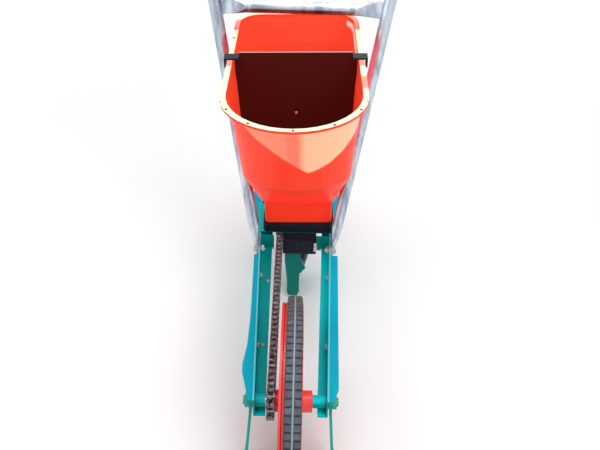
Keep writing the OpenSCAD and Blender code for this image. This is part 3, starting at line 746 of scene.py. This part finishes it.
def rim_screws():
    """Small screws sunk into the rim's flange: five round its nose and one at the rear left."""
    bm = bmesh.new()
    tilt = Matrix.Rotation(-HOPPER_LEAN, 4, "Y")
    half, nose, front, head_r = 0.1128, 0.1043, 0.1487, 0.0021
    spots = [(half * math.sin(t), front + nose * (1 - math.cos(t)))
             for t in (math.radians(a) for a in (-65, -36, 0, 32, 64))]
    rear_left = (-0.1134, 0.4607)
    for x, y in spots + [rear_left]:
        place = Matrix.Translation(lean(x, y, RIM_Z)) @ tilt
        lathe(bm, place, [(0.0, -0.002), (head_r, -0.002), (head_r, 0.0003), (0.0017, 0.0007),
                          (0.0006, 0.0008), (0.0005, 0.0003), (0.0, 0.0003)], 20)
    piece("rim_screws", bm, "black_plastic", "frame", 35)


divider_rivet()
rim_screws()


# Frame fittings
def rail_x(length):
    """Outer face of the rails' webs at a length from the front axle."""
    return RAIL_HALF / math.cos(RAIL_SPLAY) + length * math.tan(RAIL_SPLAY)


def rail_bolts():
    """Dome-headed bolts along the rails' webs, nuts on the inside, and two in the left bottom flange."""
    bm = bmesh.new()
    head_r, flats = 0.0050, 0.0085
    for s in (-1, 1):
        for length, z in ((0.118, 0.180), (0.300, 0.180), (0.520, 0.186), (0.520, 0.172)):
            x, y = rail_x(length), y_at(length)
            rod(bm, (s * (x - 0.0001), y, z), (s * (x + 0.0022), y, z), head_r, 24, 0.0012)
            hex_nut(bm, (s * (x - 0.0031), y, z), (s * (x - 0.0070), y, z), flats)
    flange_x, low, high = -0.0552, 0.1629, 0.1650
    for y in (-0.0119, -0.1800):
        rod(bm, (flange_x, y, low), (flange_x, y, high), 0.0034, 20, 0.0009)
    piece("rail_bolts", bm, "zinc_steel", "frame", 30)


def weld_bead(bm, start, end, radius, seed):
    """Overlapping ripples of a weld between two points."""
    start, end = Vector(start), Vector(end)
    count = max(3, int((end - start).length / (radius * 0.9)))
    for k in range(count):
        at = start.lerp(end, (k + 0.5) / count)
        wide = radius * (1.0 + 0.12 * math.sin(seed + 2.3 * k))
        made = bmesh.ops.create_uvsphere(bm, u_segments=10, v_segments=6, radius=wide)
        bmesh.ops.transform(bm, matrix=Matrix.Translation(at), verts=made["verts"])


def welds():
    """Beads of the cross plate on both webs, and of the fork's plate on the rails' ends."""
    bm = bmesh.new()
    bead_r, cross = 0.0022, 0.404
    for s in (-1, 1):
        web = s * (rail_x(cross) - 0.0035)
        weld_bead(bm, (web, y_at(cross), 0.166), (web, y_at(cross), 0.192), bead_r, s)
        for x, seed in ((s * 0.0330, s + 1), (s * 0.0380, s + 2)):
            weld_bead(bm, (x, y_at(RAIL_LEN), 0.167), (x, y_at(RAIL_LEN), 0.193), bead_r, seed)
    piece("weld_beads", bm, "frame_paint", "frame", 60)


rail_bolts()
welds()


# Metering unit fittings
def housing_fittings():
    """Ribs and cover screws on the metering housing, and its pale adjusting slide."""
    bm = bmesh.new()
    front = y_at(0.386)
    rib, screw_r, screw_z = (0.0024, 0.0024, 0.030), 0.0032, 0.194
    for x in (-0.018, -0.004, 0.010, 0.024, 0.038):
        block(bm, (x, front - 0.0009, 0.181), rib, 0.0004)
    for x in (-0.022, 0.042):
        rod(bm, (x, front + 0.001, screw_z), (x, front - 0.0022, screw_z), screw_r, 20, 0.0006)
    piece("housing_ribs", bm, "black_plastic", "frame", 30)
    bm = bmesh.new()
    slide_x, knob_z, knob_r = 0.0440, 0.1930, 0.0030
    block(bm, (slide_x, front - 0.0012, 0.1850), (0.0070, 0.0030, 0.0240), 0.0005)
    rod(bm, (slide_x, front - 0.001, knob_z), (slide_x, front - 0.0050, knob_z), knob_r, 20, 0.0006)
    piece("meter_slide", bm, "zinc_steel", "frame", 30)


housing_fittings()


# Camera and light
FOCAL_PX = 637.1
VIEW_PX = 600
SENSOR_MM = 36.0


def camera():
    """View from in front and above, down onto the hopper and the rails."""
    data = bpy.data.cameras.new("view")
    made = bpy.data.objects.new("view", data)
    scene.collection.objects.link(made)
    eye = (-0.0018, -0.9436, 1.1164)
    pitch, roll, yaw = (math.radians(a) for a in (40.56, 1.9, 0.45))
    forward = Vector((0, math.cos(pitch), -math.sin(pitch)))
    flat = Vector((1, 0, 0))
    up = Vector((0, math.sin(pitch), math.cos(pitch)))
    right = flat * math.cos(roll) + up * math.sin(roll)
    above = up * math.cos(roll) - flat * math.sin(roll)
    turn = Matrix.Rotation(-yaw, 3, "Z")
    axes = Matrix((turn @ right, turn @ above, turn @ -forward)).transposed()
    made.matrix_world = Matrix.Translation(eye) @ axes.to_4x4()
    data.sensor_width = SENSOR_MM
    data.lens = FOCAL_PX / VIEW_PX * SENSOR_MM
    data.shift_x = 0.0026
    data.clip_start = 0.05
    scene.camera = made


def area_light(name, place, aim, size, power):
    data = bpy.data.lights.new(name, "AREA")
    data.shape = "RECTANGLE"
    data.size, data.size_y = size
    data.energy = power
    made = bpy.data.objects.new(name, data)
    scene.collection.objects.link(made)
    made.location = place
    made.rotation_euler = (Vector(aim) - Vector(place)).to_track_quat("-Z", "Y").to_euler()


def studio():
    """World that is white where it is seen or mirrored and a soft light elsewhere, and four lamps."""
    world = bpy.data.worlds.new("studio")
    scene.world = world
    world.use_nodes = True
    sky = Nodes(world.node_tree)
    out = sky.node("ShaderNodeOutputWorld")
    lit = sky.node("ShaderNodeBackground", Color=(0.93, 0.97, 1.0), Strength=0.60)
    seen = sky.node("ShaderNodeBackground", Color=(1.0, 1.0, 1.0), Strength=1.0)
    mix = sky.node("ShaderNodeMixShader")
    ways = sky.node("ShaderNodeLightPath").outputs
    camera_ray, glossy, through = (Wire(sky.tree, ways[f"Is {kind} Ray"])
                                   for kind in ("Camera", "Glossy", "Transmission"))
    plug(sky.tree, mix.inputs[0], (camera_ray + glossy + through).clamped())
    for shader, slot in ((lit, mix.inputs[1]), (seen, mix.inputs[2]), (mix, out.inputs[0])):
        sky.tree.links.new(shader.outputs[0], slot)
    area_light("key", (1.4, -1.6, 2.6), (0, 0, 0.3), (1.6, 1.6), 34)
    area_light("fill", (-1.8, -0.8, 1.9), (0, 0, 0.3), (1.8, 1.8), 18)
    area_light("top", (0.1, 0.0, 2.6), (0, 0.05, 0.4), (1.4, 1.4), 26)
    area_light("back", (0.3, 2.0, 2.4), (0, 0.1, 0.4), (1.6, 1.2), 14)


def floor():
    """White ground that fades into the white round it."""
    bm = bmesh.new()
    bmesh.ops.create_grid(bm, x_segments=1, y_segments=1, size=9.0)
    mesh = bpy.data.meshes.new("floor")
    bm.to_mesh(mesh)
    bm.free()
    made = bpy.data.objects.new("floor", mesh)
    scene.collection.objects.link(made)
    f = Finish("floor_paint", Roughness=0.9, Emission_Strength=1.0)
    x, y, _ = f.axes()
    # Away from the lamps the floor is lit by itself, so that it ends as pale as it starts
    far = f.band(around(x, y), 0.9, 3.0)
    f.feed(Base_Color=f.blend(f.noise(1.5, 2.0), (0.80, 0.80, 0.80), (0.84, 0.84, 0.84)),
           Emission_Color=f.blend(far, BLACK, (0.46, 0.46, 0.46)))
    mesh.materials.append(f.material)
    made.location.z = -0.0005


camera()
studio()
floor()
scene.view_settings.view_transform = "Standard"
